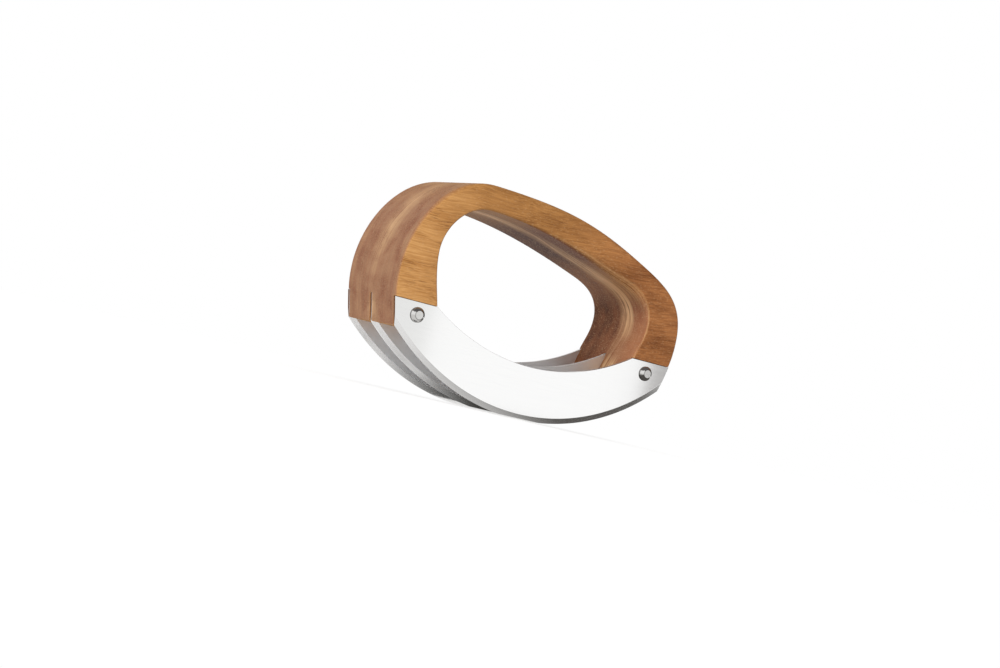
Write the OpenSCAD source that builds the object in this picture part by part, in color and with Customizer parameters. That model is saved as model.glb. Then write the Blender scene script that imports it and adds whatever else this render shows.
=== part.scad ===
// Rocking herb chopper: three curved steel blades side by side under an arched wooden handle.
// X runs along the blades, Y across them and Z up, in millimetres. The origin is where the middle blade's
// cutting edge would touch a flat board with the chopper upright.

/* [Blades] */
// Length of a blade between its two top corners
blade_len = 150; // [130:1:170]
// Thickness of the blade steel
blade_t = 1.5; // [1:0.1:2.5]
// Radius of the curved cutting edge
edge_r = 108; // [96:1:140]
// Radius of a blade's hollow upper edge
inner_r = 100; // [80:1:140]
// Depth of steel at the middle of a blade
blade_depth = 24; // [18:0.5:30]
// Height of the straight end of a blade
end_h = 12; // [9:0.5:16]
// How far a straight end leans in from its top corner to its bottom corner
end_lean = 3; // [1:0.5:5]
// Width of the ground bevel along the cutting edge
bevel_w = 2.4; // [1:0.1:4]
// Thickness left at the cutting edge
edge_t = 0.3; // [0.2:0.1:0.6]

/* [Handle] */
// Width of the handle across the three blades
handle_w = 45; // [36:1:60]
// Rise from the top edges of the blades to the top of the grip
arch_h = 58; // [50:1:70]
// Distance of the top of the grip from the left end of the blades
apex_inset = 38; // [30:1:50]
// Thickness of the grip at its top
grip_t = 11.4; // [9:0.2:15]
// How far each leg bulges out past the end of the blades
leg_bulge = 1.3; // [0.5:0.1:4]
// Thickness of the left leg at its widest
left_leg_t = 17.5; // [14:0.5:22]
// Thickness of the right leg at its widest
right_leg_t = 18.8; // [14:0.2:22]
// Lean of the legs' inner faces at their feet, in degrees
toe_angle = 15; // [8:1:20]
// Drop of the outer curve from the top of the grip to the right shoulder
shoulder_drop = 15.6; // [10:0.2:22]
// Slope of the outer curve at the right shoulder, in degrees
shoulder_slope = 22; // [16:1:28]
// Thickness of the grip at the right shoulder
shoulder_t = 13.2; // [11:0.2:17]
// Rounding of the legs' edges
leg_round = 1.2; // [0.6:0.1:2]
// Rounding of the grip's upper edges
grip_round = 3; // [2:0.5:4.5]
// Rounding of the grip's lower edges at the right shoulder
under_round = 5; // [2:0.5:5.5]

/* [Blade seats] */
// How far the outer blades lie below the faces of the handle
inlay = 0.3; // [0.1:0.1:1]
// Room above the top edge of each blade
seat_gap = 0.15; // [0.05:0.05:0.5]
// Room in the saw cut behind the middle blade
kerf_gap = 0.4; // [0.2:0.1:0.8]

/* [Rivets] */
// Distance of each rivet from the end of the blades
rivet_inset = 12.5; // [10:0.5:15]
// Distance of each rivet below the top edges of the blades
rivet_drop = 5.5; // [4.5:0.5:7]
// Diameter of a rivet head
head_d = 6.8; // [6:0.2:8]
// Height of a rivet head
head_h = 2; // [1.6:0.1:3]
// Diameter of the flat top of a rivet head
head_flat_d = 3.8; // [3:0.1:4.4]
// Outer diameter of a rivet barrel
barrel_d = 4.6; // [4:0.2:5.4]
// Diameter of a rivet pin
pin_d = 2.8; // [2:0.2:3.2]
// Length of a rivet pin inside its barrel
pin_len = 26; // [12:1:32]
// Room between a rivet and the hole it passes through
fit_gap = 0.05; // [0.02:0.01:0.1]

/* [Hidden] */
$fn = 96;
// Extra length of every cut past the surface that it opens
past = 1;
// Flat pieces in each span of the handle's curves, from the left leg to the right one
span_steps = [4, 18, 18, 16, 4];
// Flat pieces in each rounded edge of the handle
round_steps = 4;

// Blade sizes that follow from the driving ones
half_len = blade_len / 2;
foot_x = half_len - end_lean;
foot_z = edge_r - sqrt(edge_r * edge_r - foot_x * foot_x);
top_z = foot_z + end_h;
end_angle = atan(end_lean / end_h);
inner_z = blade_depth + inner_r;
corner_x = sqrt(inner_r * inner_r - (inner_z - top_z) * (inner_z - top_z));
bevel_slope = (blade_t - edge_t) / 2 / bevel_w;
outer_blade_y = handle_w / 2 - inlay - blade_t / 2;
outer_face_y = outer_blade_y + blade_t / 2;
rebate_y = outer_blade_y - blade_t / 2;
seat_z = top_z + seat_gap;

// Rivet places and sizes
rivet_x = half_len - rivet_inset;
rivet_z = top_z - rivet_drop;
barrel_end_gap = 0.2;
head_rim = 0.3;
barrel_len = 2 * outer_face_y - barrel_end_gap;

// Places on the handle's side view
wide_rise = 11.5;
left_hollow_rise = 24;
right_hollow_rise = 15.5;
shoulder_inset = 25;
under_back = 6;
under_slope = 16;
wide_x = half_len + leg_bulge;
wide_z = top_z + wide_rise;
left_hollow_x = wide_x - left_leg_t;
right_hollow_x = wide_x - right_leg_t;
apex_x = apex_inset - half_len;
apex_z = top_z + arch_h;
shoulder = [half_len - shoulder_inset, apex_z - shoulder_drop];
under_shoulder = shoulder - shoulder_t * heading(90 - shoulder_slope) - under_back * heading(-shoulder_slope);

// The handle's side view above the blades is two smooth curves, from the left leg over the grip to the
// right leg. Each knot is [x, z, heading in degrees, reach back, reach forward], and the curve passes
// through the knot along its heading.
outer_knots = [
    [-outer_at(seat_z), seat_z, 90 + end_angle, 0, 4],
    [-wide_x, wide_z, 90, 4, 22],
    [apex_x, apex_z, 0, 24, 41],
    [shoulder[0], shoulder[1], -shoulder_slope, 32, 16],
    [wide_x, wide_z, -90, 19, 4],
    [outer_at(seat_z), seat_z, -90 - end_angle, 4, 0]
];
inner_knots = [
    [-inner_at(seat_z), seat_z, 90 + toe_angle, 0, 6],
    [-left_hollow_x, top_z + left_hollow_rise, 90, 8, 11],
    [apex_x, apex_z - grip_t, 0, 12.5, 30],
    [under_shoulder[0], under_shoulder[1], -under_slope, 20, 12.5],
    [right_hollow_x, top_z + right_hollow_rise, -90, 8, 6],
    [inner_at(seat_z), seat_z, -90 - toe_angle, 5, 0]
];
// Edge rounding at each knot
outer_rounds = [leg_round, leg_round, grip_round, grip_round, leg_round, leg_round];
inner_rounds = [leg_round, leg_round, leg_round, under_round, leg_round, leg_round];

// Distance of a foot's outer and inner faces from the middle at the height z
function outer_at(z) = half_len - (top_z - z) * tan(end_angle);

function inner_at(z) = corner_x - (top_z - z) * tan(toe_angle);

function heading(a) = [cos(a), sin(a)];

function knot_point(k) = [k[0], k[1]];

function cubic(a, b, c, d, t) =
    pow(1 - t, 3) * a + 3 * pow(1 - t, 2) * t * b + 3 * (1 - t) * t * t * c + t * t * t * d;

// Point at the share t of the way from knot p to knot q
function between(p, q, t) = cubic(
    knot_point(p),
    knot_point(p) + p[4] * heading(p[2]),
    knot_point(q) - q[3] * heading(q[2]),
    knot_point(q),
    t
);

// Eases from 0 to 1, flat at both ends
function ease(t) = (1 - cos(180 * t)) / 2;

// Stations along the handle as [span, share of the span], with the last knot as the end of the last span
stations = concat(
    [for (s = [0:len(span_steps) - 1], i = [0:span_steps[s] - 1]) [s, i / span_steps[s]]],
    [[len(span_steps) - 1, 1]]
);

function curve(knots) = [for (s = stations) between(knots[s[0]], knots[s[0] + 1], s[1])];

function rounds(list) = [for (s = stations) list[s[0]] + (list[s[0] + 1] - list[s[0]]) * ease(s[1])];

outer_curve = curve(outer_knots);
inner_curve = curve(inner_knots);
outer_round = rounds(outer_rounds);
inner_round = rounds(inner_rounds);

// One cross-section of the handle between an outer and an inner point, with its four edges rounded
function section(p, q, r_out, r_in) =
    let (
        thick = norm(q - p),
        across = (q - p) / thick,
        ro = min(r_out, thick / 2 - 0.2),
        ri = min(r_in, thick / 2 - 0.2),
        half_w = handle_w / 2,
        corners = [
            [ro, -half_w + ro, ro, 180],
            [thick - ri, -half_w + ri, ri, 270],
            [thick - ri, half_w - ri, ri, 0],
            [ro, half_w - ro, ro, 90]
        ]
    )
    [for (c = corners, i = [0:round_steps])
        let (
            a = c[3] + 90 * i / round_steps,
            depth = c[0] + c[2] * cos(a),
            y = c[1] + c[2] * sin(a)
        )
        [p[0] + across[0] * depth, y, p[1] + across[1] * depth]];

handle_sections = [for (i = [0:len(outer_curve) - 1])
    section(outer_curve[i], inner_curve[i], outer_round[i], inner_round[i])];

// Closed solid through a list of rings that all have the same number of points
module loft(rings) {
    n = len(rings[0]);
    last = len(rings) - 1;
    points = [for (ring = rings, p = ring) p];
    sides = [for (j = [0:last - 1], i = [0:n - 1])
        let (a = j * n + i, b = j * n + (i + 1) % n)
        each [[a, b + n, b], [a, a + n, b + n]]];
    first_cap = [[for (i = [0:n - 1]) i]];
    last_cap = [[for (i = [n - 1:-1:0]) last * n + i]];
    polyhedron(points, concat(sides, first_cap, last_cap), convexity = 6);
}

// Round hole across the whole chopper at each rivet
module rivet_holes() {
    for (side = [-1, 1]) translate([side * rivet_x, 0, rivet_z]) rotate([90, 0, 0])
        cylinder(h = handle_w + 2 * past, d = barrel_d + 2 * fit_gap, center = true);
}

// Foot of the right leg: narrower than the leg, so that the outer blades lie against its front and rear,
// and sawn in two for the middle blade, whose front face lies against the front wall of the cut
module foot() {
    side_view = [
        [outer_at(foot_z), foot_z],
        [outer_at(seat_z), seat_z],
        [inner_at(seat_z), seat_z],
        [inner_at(foot_z), foot_z]
    ];
    difference() {
        rotate([90, 0, 0]) linear_extrude(2 * rebate_y, center = true) polygon(side_view);
        translate([0, -blade_t / 2, foot_z - past])
            cube([blade_len, blade_t + kerf_gap, seat_z - foot_z + 2 * past]);
        rivet_holes();
    }
}

module handle() {
    color("peru") {
        loft(handle_sections);
        foot();
        mirror([1, 0, 0]) foot();
    }
}

// Side view of a blade: a crescent with two short straight ends
module blade_outline() {
    low_x = half_len - end_lean * top_z / end_h;
    difference() {
        intersection() {
            translate([0, edge_r]) circle(edge_r);
            polygon([[-half_len, top_z], [half_len, top_z], [low_x, 0], [-low_x, 0]]);
        }
        translate([0, inner_z]) circle(inner_r);
    }
}

// Conical cut that grinds the bevel on the rear side of a blade
module bevel_cut() {
    start_r = edge_r - bevel_w - past;
    end_r = edge_r + past;
    start_y = blade_t / 2 + bevel_slope * past;
    end_y = edge_t / 2 - bevel_slope * past;
    ring = [[start_r, start_y], [end_r, end_y], [end_r, start_y + past], [start_r, start_y + past]];
    translate([0, 0, edge_r]) rotate([-90, 0, 0]) rotate_extrude() polygon(ring);
}

module blade() {
    color("silver") difference() {
        rotate([90, 0, 0]) linear_extrude(blade_t, center = true) blade_outline();
        bevel_cut();
        mirror([0, 1, 0]) bevel_cut();
        rivet_holes();
    }
}

// Rivet head on the plane z = 0: a low straight rim, a steep domed shoulder and a flat top
module rivet_head() {
    steps = 8;
    rim = [head_d / 2, head_rim];
    top = [head_flat_d / 2, head_h];
    shoulder_curve = [for (i = [0:steps]) cubic(rim, rim + [0, 0.6], top + [0.4, -0.3], top, i / steps)];
    rotate_extrude() polygon(concat([[0, 0], [head_d / 2, 0]], shoulder_curve, [[0, head_h]]));
}

// Front half of a rivet: a head and a tube that passes through all three blades
module rivet_barrel(side) {
    color("gainsboro") translate([side * rivet_x, -outer_face_y, rivet_z]) rotate([90, 0, 0]) difference() {
        union() {
            rivet_head();
            translate([0, 0, -barrel_len]) cylinder(h = barrel_len, d = barrel_d);
        }
        translate([0, 0, -barrel_len - past]) cylinder(h = pin_len + 2 * past, d = pin_d + 2 * fit_gap);
    }
}

// Rear half of a rivet: a head and a pin pressed into the barrel
module rivet_pin(side) {
    color("gainsboro") translate([side * rivet_x, outer_face_y, rivet_z]) rotate([-90, 0, 0]) {
        rivet_head();
        translate([0, 0, -pin_len]) cylinder(h = pin_len, d = pin_d);
    }
}

module front_blade() {
    translate([0, -outer_blade_y, 0]) blade();
}

module middle_blade() {
    blade();
}

module rear_blade() {
    translate([0, outer_blade_y, 0]) blade();
}

module left_rivet_barrel() {
    rivet_barrel(-1);
}

module left_rivet_pin() {
    rivet_pin(-1);
}

module right_rivet_barrel() {
    rivet_barrel(1);
}

module right_rivet_pin() {
    rivet_pin(1);
}

handle();
front_blade();
middle_blade();
rear_blade();
left_rivet_barrel();
left_rivet_pin();
right_rivet_barrel();
right_rivet_pin();
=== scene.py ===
import math

import bmesh
import bpy
from mathutils import Matrix, Vector
from mathutils.geometry import interpolate_bezier


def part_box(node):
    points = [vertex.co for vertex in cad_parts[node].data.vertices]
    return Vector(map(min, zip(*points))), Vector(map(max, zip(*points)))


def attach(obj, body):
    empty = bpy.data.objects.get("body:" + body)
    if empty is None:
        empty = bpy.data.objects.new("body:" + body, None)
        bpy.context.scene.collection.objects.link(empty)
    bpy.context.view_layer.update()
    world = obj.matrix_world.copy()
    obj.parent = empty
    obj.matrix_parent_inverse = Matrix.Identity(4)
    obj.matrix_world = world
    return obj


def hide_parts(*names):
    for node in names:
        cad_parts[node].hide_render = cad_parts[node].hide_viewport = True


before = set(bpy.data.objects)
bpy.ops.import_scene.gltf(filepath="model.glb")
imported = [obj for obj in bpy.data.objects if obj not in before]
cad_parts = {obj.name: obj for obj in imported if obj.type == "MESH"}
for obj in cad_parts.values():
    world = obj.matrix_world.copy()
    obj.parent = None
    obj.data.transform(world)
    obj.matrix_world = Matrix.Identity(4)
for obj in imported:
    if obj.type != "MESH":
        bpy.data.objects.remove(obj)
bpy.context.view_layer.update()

# Blades: three like blades, stamped from 1.5 mm stainless sheet, ground to a bevel on both sides of the
# curved edge and polished. The front and rear ones lie against the feet of the handle, and the middle one
# stands in its saw cuts.
mm = 0.001
front_low, front_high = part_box("front_blade")
half_length = front_high.x
blade_top = front_high.z
steel_thickness = front_high.y - front_low.y
edge_radius = 108 * mm
inner_radius = 100 * mm
blade_depth = 24 * mm
end_height = 12 * mm
end_lean = 3 * mm
bevel_width = 2.4 * mm
edge_thickness = 0.3 * mm
arris_softness = 0.08 * mm
blade_steps = 320
end_angle = math.atan2(end_lean, end_height)
edge_half_angle = math.asin((half_length - end_lean) / edge_radius)
bevel_radius = edge_radius - bevel_width
bevel_half_angle = math.asin(edge_radius * math.sin(edge_half_angle + end_angle) / bevel_radius) - end_angle
inner_centre = blade_depth + inner_radius


def linear(hex_colour):
    """Turns an sRGB hex colour to the linear values that a shader takes."""
    shares = [int(hex_colour[i:i + 2], 16) / 255 for i in (1, 3, 5)]
    return [s / 12.92 if s <= 0.04045 else ((s + 0.055) / 1.055) ** 2.4 for s in shares] + [1]


def add_node(tree, kind, inputs=None, **settings):
    """Adds a node. An input takes a value, a node's output, or a node, which stands for its first output."""
    node = tree.nodes.new(kind)
    for name, value in settings.items():
        setattr(node, name, value)
    for name, value in (inputs or {}).items():
        if isinstance(value, bpy.types.Node):
            tree.links.new(value.outputs[0], node.inputs[name])
        elif isinstance(value, bpy.types.NodeSocket):
            tree.links.new(value, node.inputs[name])
        else:
            node.inputs[name].default_value = value
    return node


def new_tree(name, sockets):
    """Starts a geometry tree with these named inputs, and returns it with its input and output nodes."""
    tree = bpy.data.node_groups.new(name, "GeometryNodeTree")
    for socket, kind in sockets.items():
        tree.interface.new_socket(socket, in_out="INPUT", socket_type="NodeSocket" + kind)
    tree.interface.new_socket("Geometry", in_out="OUTPUT", socket_type="NodeSocketGeometry")
    return tree, add_node(tree, "NodeGroupInput"), add_node(tree, "NodeGroupOutput")


def make_piece(name, tree, sizes, crease):
    """Runs a geometry tree with these sizes and keeps its result as a plain mesh, sharp above that angle."""
    maker = bpy.data.objects.new(name + " maker", bpy.data.meshes.new(name + " maker"))
    bpy.context.scene.collection.objects.link(maker)
    modifier = maker.modifiers.new("maker", "NODES")
    modifier.node_group = tree
    for socket in tree.interface.items_tree:
        if socket.in_out == "INPUT":
            modifier[socket.identifier] = sizes[socket.name]
    finished = maker.evaluated_get(bpy.context.evaluated_depsgraph_get())
    mesh = bpy.data.meshes.new_from_object(finished)
    maker.modifiers.remove(modifier)
    bpy.data.objects.remove(maker)
    return show_mesh(name, mesh, crease)


def show_mesh(name, mesh, crease):
    """Puts a mesh in the scene as a smooth piece, sharp where its faces turn by more than crease."""
    mesh.name = name
    mesh.shade_smooth()
    mesh.set_sharp_from_angle(angle=math.radians(crease))
    piece = bpy.data.objects.new(name, mesh)
    bpy.context.scene.collection.objects.link(piece)
    return piece


def soften_arrises(piece, width, limit):
    """Rounds the edges where faces turn by more than limit, as sanding or polishing does, and keeps flat
    faces flat."""
    bevel = piece.modifiers.new("softened arrises", "BEVEL")
    bevel.width = width
    bevel.segments = 2
    bevel.limit_method = "ANGLE"
    bevel.angle_limit = math.radians(limit)
    normals = piece.modifiers.new("flat faces", "WEIGHTED_NORMAL")
    normals.keep_sharp = True


def polished_stainless():
    """Stainless steel, polished to a bright mirror on the two outer faces, with faint polishing lines along
    the blade. The faces between the blades keep the dull grey of the rolled sheet. The ground bevel has fine
    lines across it from the grinding wheel, and the sheared ends are rough and brown."""
    material = bpy.data.materials.new("polished stainless steel")
    material.use_nodes = True
    tree = material.node_tree
    tree.nodes.clear()
    coordinates = add_node(tree, "ShaderNodeTexCoord")
    in_mm = add_node(
        tree, "ShaderNodeVectorMath", {0: coordinates.outputs["Object"], "Scale": 1 / mm}, operation="SCALE")

    # Polishing lines run along the blade. Their size is along it, across it and up it, in millimetres. Real
    # ones, and the wheel's lines below, are too fine for the picture, so both are drawn coarser
    line_size = (20.0, 1.0, 0.4)
    lines_place = add_node(
        tree, "ShaderNodeVectorMath", {0: in_mm, 1: tuple(1 / s for s in line_size)}, operation="MULTIPLY")
    lines = add_node(tree, "ShaderNodeTexNoise", {"Vector": lines_place, "Scale": 1.0, "Detail": 3.0})

    # The ground bevel lies past its radius from the centre of the curved edge, and its lines point to there
    wheel_line = 0.5
    wheel_length = 2.5
    soft_border = 0.1
    from_centre = add_node(
        tree, "ShaderNodeVectorMath", {0: in_mm, 1: (0.0, 0.0, edge_radius / mm)}, operation="SUBTRACT")
    apart = add_node(tree, "ShaderNodeSeparateXYZ", {"Vector": from_centre})
    side_view = add_node(tree, "ShaderNodeCombineXYZ", {"X": apart.outputs["X"], "Y": apart.outputs["Z"]})
    radius = add_node(tree, "ShaderNodeVectorMath", {0: side_view}, operation="LENGTH").outputs["Value"]
    ground = add_node(tree, "ShaderNodeMapRange", {
        "Value": radius,
        "From Min": bevel_radius / mm - soft_border, "From Max": bevel_radius / mm + soft_border})
    angle = add_node(
        tree, "ShaderNodeMath", {0: apart.outputs["X"], 1: apart.outputs["Z"]}, operation="ARCTAN2")
    round_edge = add_node(
        tree, "ShaderNodeMath", {0: angle, 1: edge_radius / mm / wheel_line}, operation="MULTIPLY")
    across_edge = add_node(tree, "ShaderNodeMath", {0: radius, 1: 1 / wheel_length}, operation="MULTIPLY")
    wheel_place = add_node(tree, "ShaderNodeCombineXYZ", {"X": round_edge, "Y": across_edge})
    wheel_lines = add_node(tree, "ShaderNodeTexNoise", {"Vector": wheel_place, "Scale": 1.0, "Detail": 2.0})

    # The sheared ends are the faces that look along the blade
    facing = add_node(tree, "ShaderNodeSeparateXYZ", {"Vector": coordinates.outputs["Normal"]})
    end_on = add_node(tree, "ShaderNodeMath", {0: facing.outputs["X"]}, operation="ABSOLUTE")
    sheared = add_node(tree, "ShaderNodeMapRange", {"Value": end_on, "From Min": 0.8, "From Max": 0.9})

    # The faces between the blades are all that lie nearer the middle than half-way through an outer blade
    across = add_node(tree, "ShaderNodeSeparateXYZ", {"Vector": in_mm})
    off_middle = add_node(tree, "ShaderNodeMath", {0: across.outputs["Y"]}, operation="ABSOLUTE")
    inner_face = -front_high.y / mm
    between = add_node(tree, "ShaderNodeMapRange", {
        "Value": off_middle, "From Min": inner_face + 0.8, "From Max": inner_face + 0.3})

    polished = add_node(tree, "ShaderNodeMapRange", {"Value": lines, "To Min": 0.05, "To Max": 0.09})
    rolled = add_node(tree, "ShaderNodeMapRange", {"Value": lines, "To Min": 0.52, "To Max": 0.6})
    flat = add_node(tree, "ShaderNodeMix", {"Factor": between, "A": polished, "B": rolled})
    ground_roughness = add_node(
        tree, "ShaderNodeMapRange", {"Value": wheel_lines, "To Min": 0.2, "To Max": 0.28})
    smooth = add_node(tree, "ShaderNodeMix", {"Factor": ground, "A": flat, "B": ground_roughness})
    roughness = add_node(tree, "ShaderNodeMix", {"Factor": sheared, "A": smooth, "B": 0.6})
    height = add_node(tree, "ShaderNodeMix", {"Factor": ground, "A": lines, "B": wheel_lines})
    bump = add_node(tree, "ShaderNodeBump", {"Height": height, "Strength": 0.03, "Distance": 0.015 * mm})
    bright = add_node(tree, "ShaderNodeMix", {
        "Factor": lines, 6: linear("#F7F7F7"), 7: linear("#FDFDFC")}, data_type="RGBA")
    not_ground = add_node(tree, "ShaderNodeMath", {0: 1.0, 1: ground}, operation="SUBTRACT")
    dull = add_node(tree, "ShaderNodeMath", {0: between, 1: not_ground}, operation="MULTIPLY")
    dulled = add_node(tree, "ShaderNodeMix", {
        "Factor": dull, 6: bright.outputs["Result"], 7: linear("#F6F7F8")}, data_type="RGBA")
    tint = add_node(tree, "ShaderNodeMix", {
        "Factor": sheared, 6: dulled.outputs["Result"], 7: linear("#855A3A")}, data_type="RGBA")
    shader = add_node(tree, "ShaderNodeBsdfPrincipled", {
        "Base Color": tint.outputs["Result"], "Metallic": 1.0, "Roughness": roughness, "Normal": bump})
    add_node(tree, "ShaderNodeOutputMaterial", {"Surface": shader})
    return material


def blade_tree():
    """Draws a six-sided bar out to a blade: two corners at the edge, two at the bevel and two at the inner
    curve. The share runs from -1 at the left end of the blade to 1 at its right end. The bar's own Y is
    about -0.87 at the edge's corners, 0 at the bevel's and 0.87 at the inner curve's."""
    sizes = ("Half Length", "Top", "Edge Radius", "Edge Half Angle", "Bevel Radius", "Bevel Half Angle",
             "Inner Radius", "Inner Centre", "Thickness", "Edge Thickness", "Place Across")
    sockets = dict.fromkeys(sizes, "Float") | {"Steel": "Material"}
    tree, given, result = new_tree("stamped and ground blade", sockets)
    size = given.outputs
    bar = add_node(tree, "GeometryNodeMeshCylinder", {
        "Vertices": 6, "Side Segments": blade_steps, "Radius": 1.0, "Depth": 2.0}, fill_type="NGON")
    start = add_node(tree, "ShaderNodeSeparateXYZ", {"Vector": add_node(tree, "GeometryNodeInputPosition")})
    share = start.outputs["Z"]
    side = add_node(tree, "ShaderNodeMath", {0: start.outputs["X"]}, operation="SIGN")
    corners = []
    for radius, half_angle, thickness in (("Edge Radius", "Edge Half Angle", "Edge Thickness"),
                                          ("Bevel Radius", "Bevel Half Angle", "Thickness")):
        angle = add_node(tree, "ShaderNodeMath", {0: share, 1: size[half_angle]}, operation="MULTIPLY")
        sine = add_node(tree, "ShaderNodeMath", {0: angle}, operation="SINE")
        cosine = add_node(tree, "ShaderNodeMath", {0: angle}, operation="COSINE")
        along = add_node(tree, "ShaderNodeMath", {0: size[radius], 1: sine}, operation="MULTIPLY")
        below = add_node(tree, "ShaderNodeMath", {0: size[radius], 1: cosine}, operation="MULTIPLY")
        height = add_node(tree, "ShaderNodeMath", {0: size["Edge Radius"], 1: below}, operation="SUBTRACT")
        half = add_node(tree, "ShaderNodeMath", {0: size[thickness], 1: 0.5}, operation="MULTIPLY")
        across = add_node(tree, "ShaderNodeMath", {0: side, 1: half}, operation="MULTIPLY")
        corners.append(add_node(tree, "ShaderNodeCombineXYZ", {"X": along, "Y": across, "Z": height}))
    along = add_node(tree, "ShaderNodeMath", {0: share, 1: size["Half Length"]}, operation="MULTIPLY")
    along_square = add_node(tree, "ShaderNodeMath", {0: along, 1: along}, operation="MULTIPLY")
    radius_square = add_node(
        tree, "ShaderNodeMath", {0: size["Inner Radius"], 1: size["Inner Radius"]}, operation="MULTIPLY")
    below_square = add_node(tree, "ShaderNodeMath", {0: radius_square, 1: along_square}, operation="SUBTRACT")
    below = add_node(tree, "ShaderNodeMath", {0: below_square}, operation="SQRT")
    curve = add_node(tree, "ShaderNodeMath", {0: size["Inner Centre"], 1: below}, operation="SUBTRACT")
    height = add_node(tree, "ShaderNodeMath", {0: curve, 1: size["Top"]}, operation="MINIMUM")
    inner = add_node(tree, "ShaderNodeCombineXYZ", {"X": along, "Y": across, "Z": height})
    at_bevel, at_inner = [
        add_node(tree, "FunctionNodeCompare", {"A": start.outputs["Y"], "B": level},
                 data_type="FLOAT", operation="GREATER_THAN")
        for level in (-0.5, 0.5)]
    lower = add_node(tree, "GeometryNodeSwitch", {
        "Switch": at_bevel, "False": corners[0], "True": corners[1]}, input_type="VECTOR")
    corner = add_node(tree, "GeometryNodeSwitch", {
        "Switch": at_inner, "False": lower, "True": inner}, input_type="VECTOR")
    offset = add_node(tree, "ShaderNodeCombineXYZ", {"Y": size["Place Across"]})
    drawn = add_node(tree, "GeometryNodeSetPosition", {"Geometry": bar, "Position": corner, "Offset": offset})
    whole = add_node(tree, "GeometryNodeRealizeInstances", {"Geometry": drawn})
    steel = add_node(tree, "GeometryNodeSetMaterial", {"Geometry": whole, "Material": size["Steel"]})
    tree.links.new(steel.outputs["Geometry"], result.inputs["Geometry"])
    return tree


blade_steel = polished_stainless()
blade_maker = blade_tree()
for node in ("front_blade", "middle_blade", "rear_blade"):
    low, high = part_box(node)
    blade = make_piece(node + "_steel", blade_maker, {
        "Half Length": half_length, "Top": blade_top, "Thickness": steel_thickness,
        "Edge Radius": edge_radius, "Edge Half Angle": edge_half_angle, "Edge Thickness": edge_thickness,
        "Bevel Radius": bevel_radius, "Bevel Half Angle": bevel_half_angle,
        "Inner Radius": inner_radius, "Inner Centre": inner_centre,
        "Place Across": (low.y + high.y) / 2, "Steel": blade_steel}, crease=8)
    soften_arrises(blade, arris_softness, limit=8)
    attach(blade, "root")
    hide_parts(node)

# Handle: one block of acacia, sawn to a lopsided arch and carved round along the grip, where it is held.
# Each end is a foot, cut back at its front and rear for the outer blades and sawn in two for the middle
# blade. The wood is sanded and oiled.
wood_low, wood_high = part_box("handle")
middle_low, middle_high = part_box("middle_blade")
half_width = wood_high.y
grip_top = wood_high.z
foot_bottom = wood_low.z
grip_left = wood_low.x
grip_right = wood_high.x
rebate = -front_high.y
seat_gap = 0.15 * mm
seat = blade_top + seat_gap
saw_cut_play = 0.4 * mm
slot_front = middle_low.y
slot_rear = middle_high.y + saw_cut_play
toe_angle = 15
wide_height = blade_top + 11.5 * mm
apex = 38 * mm - half_length
grip_thickness = 11.4 * mm
left_leg = 17.5 * mm
right_leg = 18.8 * mm
left_hollow_height = blade_top + 24 * mm
right_hollow_height = blade_top + 15.5 * mm
shoulder = Vector((half_length - 25 * mm, grip_top - 15.6 * mm))
shoulder_slope = 22
shoulder_thickness = 13.2 * mm
under_back = 6 * mm
under_slope = 16
leg_round = 1.2 * mm
grip_round = 3 * mm
under_round = 5 * mm
span_steps = (8, 40, 40, 36, 8)
round_steps = 8
wood_softness = 0.2 * mm


def heading(degrees):
    """The direction in the side view at this angle above the line to the right."""
    return Vector((math.cos(math.radians(degrees)), math.sin(math.radians(degrees))))


def outer_foot(height):
    """Distance of a foot's outer face from the middle of the handle."""
    return half_length - (blade_top - height) * math.tan(end_angle)


def inner_foot(height):
    """Distance of a foot's inner face from the middle of the handle. It meets the blades' inner corners."""
    corner = math.sqrt(inner_radius ** 2 - (inner_centre - blade_top) ** 2)
    return corner - (blade_top - height) * math.tan(math.radians(toe_angle))


def carved_line(knots):
    """Points along a smooth line of the side view. A knot is its place, its heading in degrees, its reach
    back and its reach forward in millimetres."""
    points = []
    for here, after, steps in zip(knots, knots[1:], span_steps):
        start = Vector(here[0])
        end = Vector(after[0])
        leaving = start + here[3] * mm * heading(here[1])
        arriving = end - after[2] * mm * heading(after[1])
        points += interpolate_bezier(start, leaving, arriving, end, steps + 1)[:-1]
    return points + [Vector(knots[-1][0])]


def carved_rounds(rounds):
    """Edge rounding along the handle, which eases from each knot's value to the next one's."""
    values = []
    for here, after, steps in zip(rounds, rounds[1:], span_steps):
        values += [here + (after - here) * (1 - math.cos(math.pi * i / steps)) / 2 for i in range(steps)]
    return values + [rounds[-1]]


def handle_section(outer, inner, outer_round, inner_round):
    """Points round the handle, in this order: the front edges, the inner face, the rear edges and the outer
    face. The two faces have a point at each side of the feet and of the saw cut."""
    thickness = (inner - outer).length
    across = (inner - outer).normalized()

    def corner(depth, side, radius, first_angle):
        centre = side * (half_width - radius)
        turns = [math.radians(first_angle + 90 * i / round_steps) for i in range(round_steps + 1)]
        return [(depth + radius * math.cos(turn), centre + radius * math.sin(turn)) for turn in turns]

    def face(depth, radius, sides):
        least_face = 0.1 * mm
        limit = half_width - radius - least_face
        return [(depth, max(-limit, min(limit, y))) for y in sides]

    sides = (-rebate, slot_front, slot_rear, rebate)
    ring = corner(outer_round, -1, outer_round, 180)
    ring += corner(thickness - inner_round, -1, inner_round, 270)
    ring += face(thickness, inner_round, sides)
    ring += corner(thickness - inner_round, 1, inner_round, 0)
    ring += corner(outer_round, 1, outer_round, 90)
    ring += face(0, outer_round, reversed(sides))
    points = [(outer + across * depth, y) for depth, y in ring]
    return [(point.x, y, point.y) for point, y in points]


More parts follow.
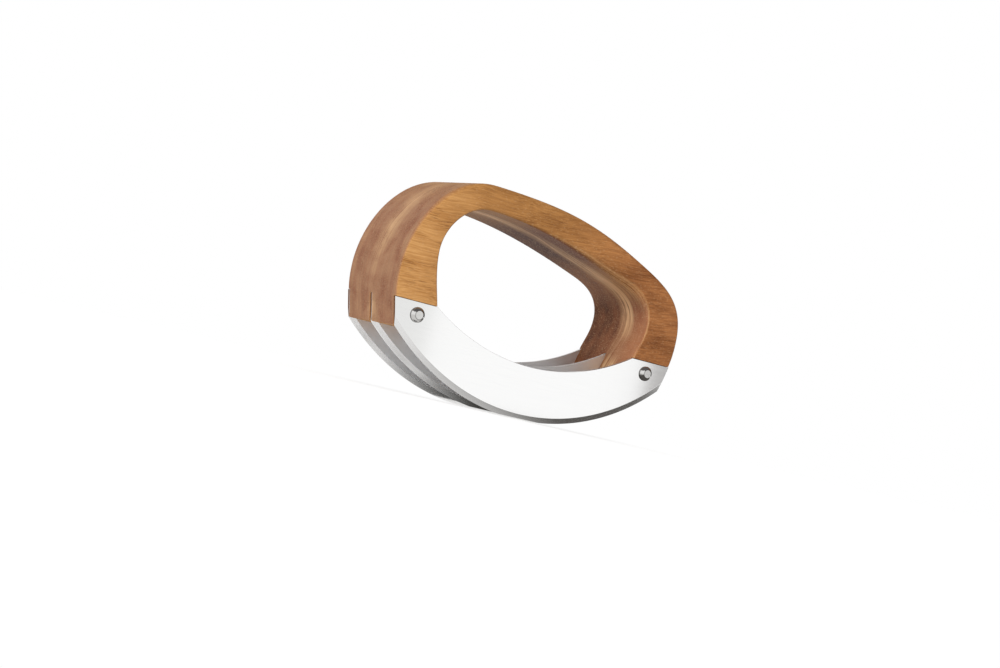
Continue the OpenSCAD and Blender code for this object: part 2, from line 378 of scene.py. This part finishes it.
def add_foot(mesh, ring, side):
    """Closes an end of the arch with its two ledges and the roof of the saw cut, and adds the two halves of
    the foot below it."""
    edge = 2 * (round_steps + 1)
    inner = ring[edge:edge + 4]
    outer = ring[:-5:-1]
    rear_edges = ring[edge + 4:2 * edge + 4]
    mesh.faces.new([outer[0]] + ring[:edge] + [inner[0]])
    mesh.faces.new([inner[3]] + rear_edges + [outer[3]])
    mesh.faces.new([outer[1], inner[1], inner[2], outer[2]])
    for front, rear in ((0, 1), (2, 3)):
        top = [outer[front], outer[rear], inner[rear], inner[front]]
        reaches = [outer_foot, outer_foot, inner_foot, inner_foot]
        bottom = [mesh.verts.new((side * reach(foot_bottom), corner.co.y, foot_bottom))
                  for corner, reach in zip(top, reaches)]
        mesh.faces.new(bottom)
        for i in range(4):
            mesh.faces.new([top[i], top[i - 1], bottom[i - 1], bottom[i]])


def handle_mesh():
    """Carves the arch between its outer and inner line, closes its two ends and adds the feet."""
    outer_line = carved_line([
        ((-outer_foot(seat), seat), 90 + math.degrees(end_angle), 0, 4),
        ((grip_left, wide_height), 90, 4, 22),
        ((apex, grip_top), 0, 24, 41),
        (shoulder, -shoulder_slope, 32, 16),
        ((grip_right, wide_height), -90, 19, 4),
        ((outer_foot(seat), seat), -90 - math.degrees(end_angle), 4, 0),
    ])
    under_shoulder = (shoulder - shoulder_thickness * heading(90 - shoulder_slope)
                      - under_back * heading(-shoulder_slope))
    inner_line = carved_line([
        ((-inner_foot(seat), seat), 90 + toe_angle, 0, 6),
        ((grip_left + left_leg, left_hollow_height), 90, 8, 11),
        ((apex, grip_top - grip_thickness), 0, 12.5, 30),
        (under_shoulder, -under_slope, 20, 12.5),
        ((grip_right - right_leg, right_hollow_height), -90, 8, 6),
        ((inner_foot(seat), seat), -90 - toe_angle, 5, 0),
    ])
    outer_rounds = carved_rounds([leg_round, leg_round, grip_round, grip_round, leg_round, leg_round])
    inner_rounds = carved_rounds([leg_round, leg_round, leg_round, under_round, leg_round, leg_round])
    mesh = bmesh.new()
    rings = []
    for places in zip(outer_line, inner_line, outer_rounds, inner_rounds):
        rings.append([mesh.verts.new(point) for point in handle_section(*places)])
    for here, after in zip(rings, rings[1:]):
        for i in range(len(here)):
            mesh.faces.new([here[i], here[i - 1], after[i - 1], after[i]])
    add_foot(mesh, rings[0], -1)
    add_foot(mesh, rings[-1], 1)
    bmesh.ops.recalc_face_normals(mesh, faces=mesh.faces)
    finished = bpy.data.meshes.new("carved_handle")
    mesh.to_mesh(finished)
    mesh.free()
    return finished


def acacia_marks(tree, in_mm):
    """Marks of the wood by name, each from 0 to 1. They follow the grain, which slopes by 3 degrees and
    wanders a little."""
    grain_slope = math.radians(3)
    along = add_node(tree, "ShaderNodeMapping", {"Vector": in_mm, "Rotation": (0.0, grain_slope, 0.0)})
    drift_size = 45.0
    drift_reach = (0.0, 12.0, 7.0)
    drift = add_node(tree, "ShaderNodeTexNoise", {"Vector": along, "Scale": 1 / drift_size, "Detail": 1.0})
    drift_centre = add_node(
        tree, "ShaderNodeVectorMath", {0: drift.outputs["Color"], 1: (0.5, 0.5, 0.5)}, operation="SUBTRACT")
    drift_mm = add_node(
        tree, "ShaderNodeVectorMath", {0: drift_centre, 1: drift_reach}, operation="MULTIPLY")
    grain = add_node(tree, "ShaderNodeVectorMath", {0: along, 1: drift_mm}, operation="ADD")

    # Size of each mark along the grain, across the plank and up it, in millimetres. Fibres and pores are
    # drawn coarser than real ones, so that they show. Each kind has its own part of the noise
    parts_apart = 7.3
    sizes = {
        "layers": (90.0, 5.0, 50.0),
        "lines": (60.0, 0.9, 24.0),
        "blotches": (26.0, 9.0, 8.0),
        "fibres": (24.0, 0.6, 0.6),
        "pores": (8.0, 0.5, 0.38),
        "flecks": (1.2, 0.5, 0.5),
    }
    marks = {}
    for number, (name, size) in enumerate(sizes.items()):
        place = add_node(tree, "ShaderNodeVectorMath", {
            0: grain, 1: tuple(1 / s for s in size), 2: (number * parts_apart, 0.0, 0.0)},
            operation="MULTIPLY_ADD")
        noise = add_node(tree, "ShaderNodeTexNoise", {"Vector": place, "Scale": 1.0, "Detail": 2.0})
        contrast = add_node(tree, "ShaderNodeMapRange", {"Value": noise, "From Min": 0.34, "From Max": 0.66})
        marks[name] = contrast.outputs["Result"]
    return marks


def acacia_tones(tree, marks):
    """Tones of the wood by name. Each goes between two colours with the marks that show in it."""
    streaks = add_node(tree, "ShaderNodeMix", {"Factor": 0.45, "A": marks["fibres"], "B": marks["blotches"]})
    end_marks = add_node(tree, "ShaderNodeMix", {"Factor": 0.5, "A": marks["blotches"], "B": marks["layers"]})
    colours = {
        "golden": (streaks, "#AE763C", "#D8A264"),
        "brown": (streaks, "#91602F", "#BC854A"),
        "red brown": (streaks, "#71401D", "#AD7140"),
        "end grain": (end_marks, "#9A5F44", "#BC8C67"),
        # Painted shade: the inside of the arch is darker than the wood, and darker still at the rear
        "inner shade at front": (end_marks, "#9F5C3C", "#BF8259"),
        "inner shade at rear": (end_marks, "#542A16", "#8A5432"),
    }
    tones = {}
    for name, (showing, darker, lighter) in colours.items():
        tone = add_node(tree, "ShaderNodeMix", {
            "Factor": showing, 6: linear(darker), 7: linear(lighter)}, data_type="RGBA")
        tones[name] = tone.outputs["Result"]
    return tones


def handle_zones(tree, in_mm, normal):
    """Zones of the handle by name, with soft edges. End grain is on the faces that look along the blades, and
    the inside of the arch is what faces its centre."""
    arch_centre = (0.0, 0.0, 50.0)
    place = add_node(tree, "ShaderNodeSeparateXYZ", {"Vector": in_mm}).outputs
    facing = add_node(tree, "ShaderNodeSeparateXYZ", {"Vector": normal})
    end_on = add_node(tree, "ShaderNodeMath", {0: facing.outputs["X"]}, operation="ABSOLUTE")
    from_centre = add_node(tree, "ShaderNodeVectorMath", {0: in_mm, 1: arch_centre}, operation="SUBTRACT")
    side_view = add_node(
        tree, "ShaderNodeVectorMath", {0: from_centre, 1: (1.0, 0.0, 1.0)}, operation="MULTIPLY")
    outwards = add_node(tree, "ShaderNodeVectorMath", {0: side_view}, operation="NORMALIZE")
    faces_out = add_node(
        tree, "ShaderNodeVectorMath", {0: outwards, 1: normal}, operation="DOT_PRODUCT").outputs["Value"]

    # Each zone goes by a measure. Then come where its soft edge begins and ends, and its value at each
    limits = {
        "past left leg": (place["X"], -66.0, -42.0, 0.0, 1.0),
        "past middle": (place["X"], -10.0, 45.0, 0.0, 1.0),
        "before low end": (place["X"], 45.0, -10.0, 0.0, 1.0),
        "front": (place["Y"], 6.0, -17.0, 0.0, 1.0),
        "rear": (place["Y"], -17.0, 6.0, 0.0, 1.0),
        "toes": (place["Z"], 42.0, 35.0, 0.0, 1.0),
        "high up": (place["Z"], 46.0, 64.0, 0.25, 1.0),
        # Painted shade under the grip, where the inside of the arch is darkest
        "shade under grip": (place["Z"], 60.0, 72.0, 0.0, 0.65),
        "end grain": (end_on, 0.3, 0.85, 0.0, 1.0),
        "half end grain": (end_on, 0.3, 0.85, 0.0, 0.5),
        "turned in": (faces_out, -0.25, -0.7, 0.0, 1.0),
        "turned out": (faces_out, -0.7, -0.25, 0.0, 1.0),
        # Painted shade lies on the faces that turn in most, towards the centre of the arch
        "painted_inner_shade": (faces_out, -0.7, -0.96, 0.0, 1.0),
        "clear_of_inner_shade": (faces_out, -0.96, -0.7, 0.0, 1.0),
    }
    zones = {}
    for name, (measure, begins, ends, before, after) in limits.items():
        zone = add_node(tree, "ShaderNodeMapRange", {
            "Value": measure, "From Min": begins, "From Max": ends, "To Min": before, "To Max": after})
        zones[name] = zone.outputs["Result"]
    return zones


def oiled_acacia():
    """Acacia, carved, sanded and rubbed with oil: satin, golden at the high end of the grip and redder brown
    towards the low end. Short dark pores run along the grain. The end grain is duller, with the growth
    layers as bands and a pale streak of sapwood. The inside of the arch has painted shade: its wood tone
    is darker there, more so towards the rear, and darkest under the grip."""
    material = bpy.data.materials.new("oiled acacia")
    material.use_nodes = True
    tree = material.node_tree
    tree.nodes.clear()
    coordinates = add_node(tree, "ShaderNodeTexCoord")
    in_mm = add_node(
        tree, "ShaderNodeVectorMath", {0: coordinates.outputs["Object"], "Scale": 1 / mm}, operation="SCALE")
    marks = acacia_marks(tree, in_mm)
    tones = acacia_tones(tree, marks)
    zones = handle_zones(tree, in_mm, coordinates.outputs["Normal"])

    # Thin growth layers of a greyer brown show in the end grain
    grey_layers = add_node(tree, "ShaderNodeMath", {0: marks["lines"], 1: 0.28}, operation="MULTIPLY")
    end_grain = add_node(tree, "ShaderNodeMix", {
        "Factor": grey_layers, 6: tones["end grain"], 7: linear("#8E7055")}, data_type="RGBA")

    # Painted shade on the inside of the arch: the wood tone darkens towards the rear and most under the grip
    inner_shade_front_to_rear = add_node(tree, "ShaderNodeMix", {
        "Factor": zones["rear"], 6: tones["inner shade at front"], 7: tones["inner shade at rear"]}, data_type="RGBA")
    painted_inner_shade = add_node(tree, "ShaderNodeMix", {
        "Factor": zones["shade under grip"], 6: inner_shade_front_to_rear.outputs["Result"], 7: linear("#4A2410")},
        data_type="RGBA")

    # The sapwood lies nearer the front at the low end of the grip than at the high end. It is split into
    # thin lines, shows most high up, and shows once more at the toes
    slope = 0.053
    place_at_middle = 4.0
    place = add_node(tree, "ShaderNodeSeparateXYZ", {"Vector": in_mm})
    slant = add_node(tree, "ShaderNodeMath", {
        0: place.outputs["X"], 1: slope, 2: place_at_middle}, operation="MULTIPLY_ADD")
    from_streak = add_node(tree, "ShaderNodeMath", {0: place.outputs["Y"], 1: slant}, operation="ADD")
    streak_distance = add_node(tree, "ShaderNodeMath", {0: from_streak}, operation="ABSOLUTE")
    streak = add_node(tree, "ShaderNodeMapRange", {
        "Value": streak_distance, "From Min": 7.5, "From Max": 1.5, "To Max": 1.55})
    streak_marks = add_node(
        tree, "ShaderNodeMix", {"Factor": 0.3, "A": marks["lines"], "B": marks["blotches"]})
    high_or_toe = add_node(
        tree, "ShaderNodeMath", {0: zones["high up"], 1: zones["toes"]}, operation="MAXIMUM")
    curved = add_node(
        tree, "ShaderNodeMath", {0: zones["half end grain"], 1: zones["turned in"]}, operation="MAXIMUM")
    under_grip = add_node(
        tree, "ShaderNodeMath", {0: zones["painted_inner_shade"], 1: zones["before low end"]}, operation="MULTIPLY")
    less_under_grip = add_node(
        tree, "ShaderNodeMapRange", {"Value": under_grip, "To Min": 1.0, "To Max": 0.3})

    # Dark pores lie in clusters, and not on the inside of the arch. Pale flecks show most there
    clusters = add_node(tree, "ShaderNodeMapRange", {
        "Value": marks["blotches"], "From Min": 0.6, "From Max": 0.1, "To Min": 0.15, "To Max": 1.0})
    pores = add_node(tree, "ShaderNodeMapRange", {
        "Value": marks["pores"], "From Min": 0.6, "From Max": 1.0, "To Max": 0.6})
    flecks = add_node(tree, "ShaderNodeMapRange", {
        "Value": marks["flecks"], "From Min": 0.7, "From Max": 1.0, "To Max": 0.4})
    fleck_limit = add_node(tree, "ShaderNodeMapRange", {"Value": curved, "To Min": 0.35, "To Max": 1.0})

    # What shows of each of these four is the product of all that limits it. The golden layers are thin
    # growth layers, which show where the grip's lower edge is carved round
    limits = {
        "sapwood": (streak, streak_marks, curved, high_or_toe, less_under_grip),
        "golden layers": (
            zones["turned in"], zones["clear_of_inner_shade"], zones["front"], zones["past middle"], marks["lines"]),
        "pores": (pores, clusters, zones["turned out"]),
        "flecks": (flecks, fleck_limit),
    }
    shares = {}
    for name, (share, *others) in limits.items():
        for other in others:
            share = add_node(tree, "ShaderNodeMath", {0: share, 1: other}, operation="MULTIPLY")
        shares[name] = share

    # The colours lie over one another in this order, each as far as its share goes. Along the grain they go
    # from golden over the left leg to brown and then red brown
    laid_over = [
        (zones["past left leg"], tones["brown"]),
        (zones["past middle"], tones["red brown"]),
        (zones["end grain"], end_grain.outputs["Result"]),
        # Painted shade on the inside of the arch
        (zones["painted_inner_shade"], painted_inner_shade.outputs["Result"]),
        (shares["sapwood"], linear("#ECBF8E")),
        (shares["golden layers"], linear("#D2A06A")),
        (shares["pores"], linear("#6F421C")),
        (shares["flecks"], linear("#D9B285")),
    ]
    wood = tones["golden"]
    for share, colour in laid_over:
        covered = add_node(tree, "ShaderNodeMix", {"Factor": share, 6: wood, 7: colour}, data_type="RGBA")
        wood = covered.outputs["Result"]

    # A pore is a pit, deeper than the fibres are high
    pore_depth = -1.5
    height = add_node(tree, "ShaderNodeMath", {
        0: shares["pores"], 1: pore_depth, 2: marks["fibres"]}, operation="MULTIPLY_ADD")
    bump = add_node(tree, "ShaderNodeBump", {"Height": height, "Strength": 0.15, "Distance": 0.1 * mm})
    roughness = add_node(
        tree, "ShaderNodeMapRange", {"Value": marks["fibres"], "To Min": 0.5, "To Max": 0.62})
    shader = add_node(tree, "ShaderNodeBsdfPrincipled", {
        "Base Color": wood, "Roughness": roughness, "IOR": 1.45, "Specular IOR Level": 0.2, "Normal": bump})
    add_node(tree, "ShaderNodeOutputMaterial", {"Surface": shader})
    return material


handle = show_mesh("carved_handle", handle_mesh(), crease=40)
handle.data.materials.append(oiled_acacia())
soften_arrises(handle, wood_softness, limit=60)
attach(handle, "root")
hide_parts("handle")

# Rivets: each is a steel tube with a head and a pin with a head, pressed together through the three blades
# and the wood. The heads are turned with a flat top and a steep domed shoulder, and polished.
barrel_low, barrel_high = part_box("left_rivet_barrel")
right_low, right_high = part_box("right_rivet_barrel")
pin_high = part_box("left_rivet_pin")[1]
head_radius = (barrel_high.x - barrel_low.x) / 2
rivet_height = (barrel_high.z + barrel_low.z) / 2
outer_face = -front_low.y
head_height = pin_high.y - outer_face
head_rim = 0.3 * mm
flat_radius = 1.9 * mm
shank_radius = 2.3 * mm
rim_rise = 0.6 * mm
top_lead = Vector((0.4 * mm, -0.3 * mm))
shoulder_steps = 12
rivet_sides = 64


def rivet_profile():
    """Half of a rivet's outline, from the far end of its shank to the flat top of its head."""
    outline = [(shank_radius, -outer_face), (shank_radius, 0), (head_radius, 0)]
    rim = Vector((head_radius, head_rim))
    top = Vector((flat_radius, head_height))
    leaves_rim = rim + Vector((0, rim_rise))
    meets_top = top + top_lead
    outline += [tuple(p) for p in interpolate_bezier(rim, leaves_rim, meets_top, top, shoulder_steps + 1)]
    mesh = bpy.data.meshes.new("rivet profile")
    mesh.from_pydata([(radius, 0, height) for radius, height in outline], [], [])
    return bpy.data.objects.new("rivet profile", mesh)


def rivet_tree():
    """Turns the profile to half a rivet, and puts one half at the front and one at the rear."""
    tree, given, result = new_tree("pressed rivet", {
        "Profile": "Object", "Face": "Float", "Place Along": "Float", "Height": "Float", "Steel": "Material"})
    size = given.outputs
    profile = add_node(tree, "GeometryNodeObjectInfo", {"Object": size["Profile"]}).outputs["Geometry"]
    count = add_node(tree, "GeometryNodeAttributeDomainSize", {"Geometry": profile}, component="MESH")
    steps = add_node(tree, "ShaderNodeMath", {0: count.outputs["Point Count"], 1: 1.0}, operation="SUBTRACT")
    bar = add_node(tree, "GeometryNodeMeshCylinder", {
        "Vertices": rivet_sides, "Side Segments": steps, "Radius": 1.0, "Depth": steps}, fill_type="NGON")
    start = add_node(tree, "ShaderNodeSeparateXYZ", {"Vector": add_node(tree, "GeometryNodeInputPosition")})
    ring = add_node(tree, "ShaderNodeMath", {
        0: steps, 1: 0.5, 2: start.outputs["Z"]}, operation="MULTIPLY_ADD")
    whole_ring = add_node(tree, "ShaderNodeMath", {0: ring}, operation="ROUND")
    place = add_node(tree, "GeometryNodeSampleIndex", {
        "Geometry": profile, "Value": add_node(tree, "GeometryNodeInputPosition"), "Index": whole_ring},
        data_type="FLOAT_VECTOR", domain="POINT")
    turned = add_node(tree, "ShaderNodeSeparateXYZ", {"Vector": place})
    radius = turned.outputs["X"]
    x, y = [
        add_node(tree, "ShaderNodeMath", {0: start.outputs[axis], 1: radius}, operation="MULTIPLY")
        for axis in "XY"]
    position = add_node(tree, "ShaderNodeCombineXYZ", {"X": x, "Y": y, "Z": turned.outputs["Z"]})
    half = add_node(tree, "GeometryNodeSetPosition", {"Geometry": bar, "Position": position})
    rear = add_node(tree, "ShaderNodeCombineXYZ", {
        "X": size["Place Along"], "Y": size["Face"], "Z": size["Height"]})
    front = add_node(tree, "ShaderNodeVectorMath", {0: rear, 1: (1.0, -1.0, 1.0)}, operation="MULTIPLY")
    ends = add_node(tree, "GeometryNodeMeshLine", {
        "Count": 2, "Start Location": front, "Offset": rear}, mode="END_POINTS")
    end_number = add_node(tree, "GeometryNodeInputIndex")
    tilt = add_node(
        tree, "ShaderNodeMath", {0: end_number, 1: -math.pi, 2: math.pi / 2}, operation="MULTIPLY_ADD")
    turn = add_node(tree, "ShaderNodeCombineXYZ", {"X": tilt})
    halves = add_node(
        tree, "GeometryNodeInstanceOnPoints", {"Points": ends, "Instance": half, "Rotation": turn})
    whole = add_node(tree, "GeometryNodeRealizeInstances", {"Geometry": halves})
    steel = add_node(tree, "GeometryNodeSetMaterial", {"Geometry": whole, "Material": size["Steel"]})
    tree.links.new(steel.outputs["Geometry"], result.inputs["Geometry"])
    return tree


def turned_stainless():
    """Stainless steel, turned on a lathe and buffed: a mirror with faint wear. Painted shade darkens the
    corner round the foot of the head, and a fine line round the edge of its flat top."""
    material = bpy.data.materials.new("turned stainless steel")
    material.use_nodes = True
    tree = material.node_tree
    tree.nodes.clear()
    place = add_node(tree, "ShaderNodeTexCoord").outputs["Object"]
    in_mm = add_node(tree, "ShaderNodeVectorMath", {0: place, "Scale": 1 / mm}, operation="SCALE")
    wear_marks_per_mm = 1.4
    wear = add_node(
        tree, "ShaderNodeTexNoise", {"Vector": in_mm, "Scale": wear_marks_per_mm, "Detail": 3.0})
    roughness = add_node(tree, "ShaderNodeMapRange", {"Value": wear, "To Min": 0.1, "To Max": 0.2})
    bump = add_node(tree, "ShaderNodeBump", {"Height": wear, "Strength": 0.08, "Distance": 0.05 * mm})
    tint = add_node(tree, "ShaderNodeMix", {
        "Factor": wear, 6: linear("#D2D1CF"), 7: linear("#E9E8E6")}, data_type="RGBA")
    across = add_node(tree, "ShaderNodeSeparateXYZ", {"Vector": in_mm})
    off_middle = add_node(tree, "ShaderNodeMath", {0: across.outputs["Y"]}, operation="ABSOLUTE")
    # Painted shade: the steel is darker round the foot of the head, where it meets the blade
    shade_reach = 0.7
    full_shade_reach = 0.1
    foot_shade = add_node(tree, "ShaderNodeMapRange", {
        "Value": off_middle,
        "From Min": outer_face / mm + shade_reach, "From Max": outer_face / mm + full_shade_reach})
    # Painted shade: a thin dark line round the edge of the flat top
    along = add_node(tree, "ShaderNodeMath", {0: across.outputs["X"]}, operation="ABSOLUTE")
    off_axis = add_node(tree, "ShaderNodeCombineXYZ", {"X": along, "Y": across.outputs["Z"]})
    rivet_axis = ((right_low.x + right_high.x) / 2 / mm, rivet_height / mm, 0.0)
    from_axis = add_node(tree, "ShaderNodeVectorMath", {0: off_axis, 1: rivet_axis}, operation="DISTANCE")
    from_line = add_node(tree, "ShaderNodeMath", {
        0: from_axis.outputs["Value"], 1: flat_radius / mm + 0.05}, operation="SUBTRACT")
    line_distance = add_node(tree, "ShaderNodeMath", {0: from_line}, operation="ABSOLUTE")
    top_edge_shade = add_node(tree, "ShaderNodeMapRange", {
        "Value": line_distance, "From Min": 0.25, "From Max": 0.05, "To Max": 0.6})
    rivet_shade = add_node(tree, "ShaderNodeMath", {0: foot_shade, 1: top_edge_shade}, operation="MAXIMUM")
    shaded_steel = add_node(tree, "ShaderNodeMix", {
        "Factor": rivet_shade, 6: tint.outputs["Result"], 7: linear("#4A4846")}, data_type="RGBA")
    shader = add_node(tree, "ShaderNodeBsdfPrincipled", {
        "Base Color": shaded_steel.outputs["Result"], "Metallic": 1.0, "Roughness": roughness, "Normal": bump})
    add_node(tree, "ShaderNodeOutputMaterial", {"Surface": shader})
    return material


rivet_steel = turned_stainless()
rivet_maker = rivet_tree()
profile = rivet_profile()
for name, low, high in (("left_rivet", barrel_low, barrel_high), ("right_rivet", right_low, right_high)):
    rivet = make_piece(name, rivet_maker, {
        "Profile": profile, "Face": outer_face, "Place Along": (low.x + high.x) / 2,
        "Height": rivet_height, "Steel": rivet_steel}, crease=35)
    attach(rivet, "root")
    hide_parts(name + "_barrel", name + "_pin")
bpy.data.objects.remove(profile)

# Camera: at the front left, only 4 mm above the floor, and rolled so that the right end of the blades is
# the lower one in the picture.
camera_place = (-0.4387, -0.6937, 0.0040)
camera_heading = -31.96
camera_tilt = 92.24
camera_roll = 13.14
camera_data = bpy.data.cameras.new("camera")
camera_data.lens = 64.8
camera_data.sensor_width = 36
camera_data.clip_start = 0.01
camera = bpy.data.objects.new("camera", camera_data)
bpy.context.scene.collection.objects.link(camera)
camera.matrix_world = (
    Matrix.Translation(camera_place)
    @ Matrix.Rotation(math.radians(camera_heading), 4, "Z")
    @ Matrix.Rotation(math.radians(camera_tilt), 4, "X")
    @ Matrix.Rotation(math.radians(camera_roll), 4, "Z")
)
bpy.context.scene.camera = camera

# Floor and light: a white floor in a white room, one large soft lamp from the front left, and the room's
# own even light. The camera and the steel see both as plain white, and the floor keeps its shadow.
floor_reach = 30
floor_glow = 1.12
glow_part = 0.65
room_light = 0.6
lamp_side = Vector((-0.45, -0.8, 0.42))


def add_panel(name, corners, colour):
    """Adds a flat four-cornered piece of the stage, which isn't part of the object."""
    mesh = bpy.data.meshes.new(name)
    mesh.from_pydata(corners, [], [(0, 1, 2, 3)])
    panel = bpy.data.objects.new(name, mesh)
    bpy.context.scene.collection.objects.link(panel)
    paint = bpy.data.materials.new(name)
    paint.use_nodes = True
    mesh.materials.append(paint)
    shader = paint.node_tree.nodes["Principled BSDF"]
    shader.inputs["Base Color"].default_value = colour
    shader.inputs["Roughness"].default_value = 1.0
    shader.inputs["Specular IOR Level"].default_value = 0.0
    return panel


def seen_directly(tree):
    """1 for what the camera, steel or glass sees, and 0 for the light that a surface sends on."""
    ray = add_node(tree, "ShaderNodeLightPath").outputs
    seen = add_node(
        tree, "ShaderNodeMath", {0: ray["Is Camera Ray"], 1: ray["Is Glossy Ray"]}, operation="MAXIMUM")
    return add_node(tree, "ShaderNodeMath", {0: seen, 1: ray["Is Transmission Ray"]}, operation="MAXIMUM")


floor_corners = [(floor_reach * x, floor_reach * y, 0) for x, y in ((-1, -1), (1, -1), (1, 1), (-1, 1))]
floor = add_panel("floor", floor_corners, linear("#FFFFFF"))
floor_tree = floor.active_material.node_tree
paper = floor_tree.nodes["Principled BSDF"]
floor_colour = add_node(floor_tree, "ShaderNodeMix", {
    "Factor": seen_directly(floor_tree), 6: linear("#F0F0F0"), 7: linear("#FFFFFF")}, data_type="RGBA")
floor_tree.links.new(floor_colour.outputs["Result"], paper.inputs["Base Color"])
glow = add_node(floor_tree, "ShaderNodeEmission", {"Color": linear("#FFFFFF"), "Strength": floor_glow})
glow_share = add_node(
    floor_tree, "ShaderNodeMapRange", {"Value": seen_directly(floor_tree), "To Max": glow_part})
seen_floor = add_node(floor_tree, "ShaderNodeMixShader", {0: glow_share, 1: paper, 2: glow})
floor_tree.links.new(seen_floor.outputs["Shader"], floor_tree.nodes["Material Output"].inputs["Surface"])

room = bpy.data.worlds.new("white room")
room.use_nodes = True
room_tree = room.node_tree
room_tree.nodes.clear()
strength = add_node(
    room_tree, "ShaderNodeMapRange", {"Value": seen_directly(room_tree), "To Min": room_light, "To Max": 1.0})
background = add_node(room_tree, "ShaderNodeBackground", {"Color": linear("#FFFFFF"), "Strength": strength})
add_node(room_tree, "ShaderNodeOutputWorld", {"Surface": background})
bpy.context.scene.world = room

lamp_data = bpy.data.lights.new("soft lamp", "SUN")
lamp_data.energy = 1.6
lamp_data.angle = math.radians(35)
lamp = bpy.data.objects.new("soft lamp", lamp_data)
bpy.context.scene.collection.objects.link(lamp)
lamp.visible_glossy = False
lamp.rotation_euler = lamp_side.to_track_quat("Z", "Y").to_euler()

# Flags: glowing panels round the object, as for a photograph of polished metal. Only the steel shows them,
# as painted reflections in its darker tones. Each one glows with the tone that the steel takes from it.
flags = {
    "light front flag": ([(-0.3, -1.5, 0), (0.79, -1.5, 0), (0.79, -1.5, 1), (-0.3, -1.5, 1)], "#E9E9E8"),
    "light rear flag": ([(-1.2, 1.5, 0), (1.2, 1.5, 0), (1.2, 1.5, 1), (-1.2, 1.5, 1)], "#E9E8E7"),
    "grey side flag": ([(0.9, -1.14, 0), (0.9, -0.75, 0), (0.9, -0.75, 1), (0.9, -1.14, 1)], "#B2B0AF"),
    "black side flag": ([(0.9, -0.75, 0), (0.9, 0.9, 0), (0.9, 0.9, 1), (0.9, -0.75, 1)], "#3A3837"),
    "grey top flag": ([(-1.2, -0.9, 0.9), (0.9, -0.9, 0.9), (0.9, 0.9, 0.9), (-1.2, 0.9, 0.9)], "#625F5F"),
}

# Mats: glowing cards laid one over another on the floor, for the ground bevels, the gaps between the blades
# and the foot of the front left rivet head. Each has its left, right, front and rear end, and its colour.
# Like the flags, they show only in the steel, as painted reflections.
card_thickness = 0.2 * mm
mats = {
    "light front mat": (-0.5, 0.5, -0.4, -0.019, "#E3E2E1"),
    "light rear mat": (-1.2, 1.2, 0.0215, 1.5, "#E3E2E1"),
    "dark mat": (-0.07, 0.27, -0.15, 0.02, "#55524F"),
    "dark strip": (-0.07, 0.09, -0.019, 0.019, "#33322F"),
    "dark patch": (-0.08, -0.04, -0.031, -0.0235, "#4A4846"),
}
for layer, (name, (left, right, front, rear, colour)) in enumerate(mats.items(), start=1):
    height = layer * card_thickness
    corners = [(left, front, height), (right, front, height), (right, rear, height), (left, rear, height)]
    flags[name] = (corners, colour)

# Soft-edged mats fade into what lies under them. Each has the place of its middle and how far it reaches
# from there, and keeps its full tone over the first part of that reach.
full_tone_part = 0.45
soft_edges = {
    "light front mat": ((0.0, -0.1, 0.0), (0.5, 0.3, 1.0)),
    "dark mat": ((0.1, -0.05, 0.0), (0.17, 0.1, 1.0)),
    "dark strip": ((0.05, 0.0, 0.0), (0.115, 1.0, 1.0)),
    "dark patch": ((-0.06, -0.0275, 0.0), (0.02, 0.05, 1.0)),
}
for name, (corners, colour) in flags.items():
    flag = add_panel(name, corners, linear(colour))
    flag_tree = flag.active_material.node_tree
    look = add_node(flag_tree, "ShaderNodeEmission", {"Color": linear(colour)})
    if name in soft_edges:
        middle, fade_reach = soft_edges[name]
        place = add_node(flag_tree, "ShaderNodeTexCoord").outputs["Object"]
        from_middle = add_node(flag_tree, "ShaderNodeVectorMath", {0: place, 1: middle}, operation="SUBTRACT")
        share = add_node(
            flag_tree, "ShaderNodeVectorMath", {0: from_middle, 1: fade_reach}, operation="DIVIDE")
        apart = add_node(flag_tree, "ShaderNodeVectorMath", {0: share}, operation="LENGTH")
        fade = add_node(flag_tree, "ShaderNodeMapRange", {
            "Value": apart.outputs["Value"], "From Min": 1.0, "From Max": full_tone_part},
            interpolation_type="SMOOTHSTEP")
        clear = add_node(flag_tree, "ShaderNodeBsdfTransparent")
        look = add_node(flag_tree, "ShaderNodeMixShader", {0: fade, 1: clear, 2: look})
    flag_tree.links.new(look.outputs[0], flag_tree.nodes["Material Output"].inputs["Surface"])
    flag.visible_camera = False
    flag.visible_diffuse = False
    flag.visible_shadow = False

bpy.context.scene.view_settings.view_transform = "Standard"
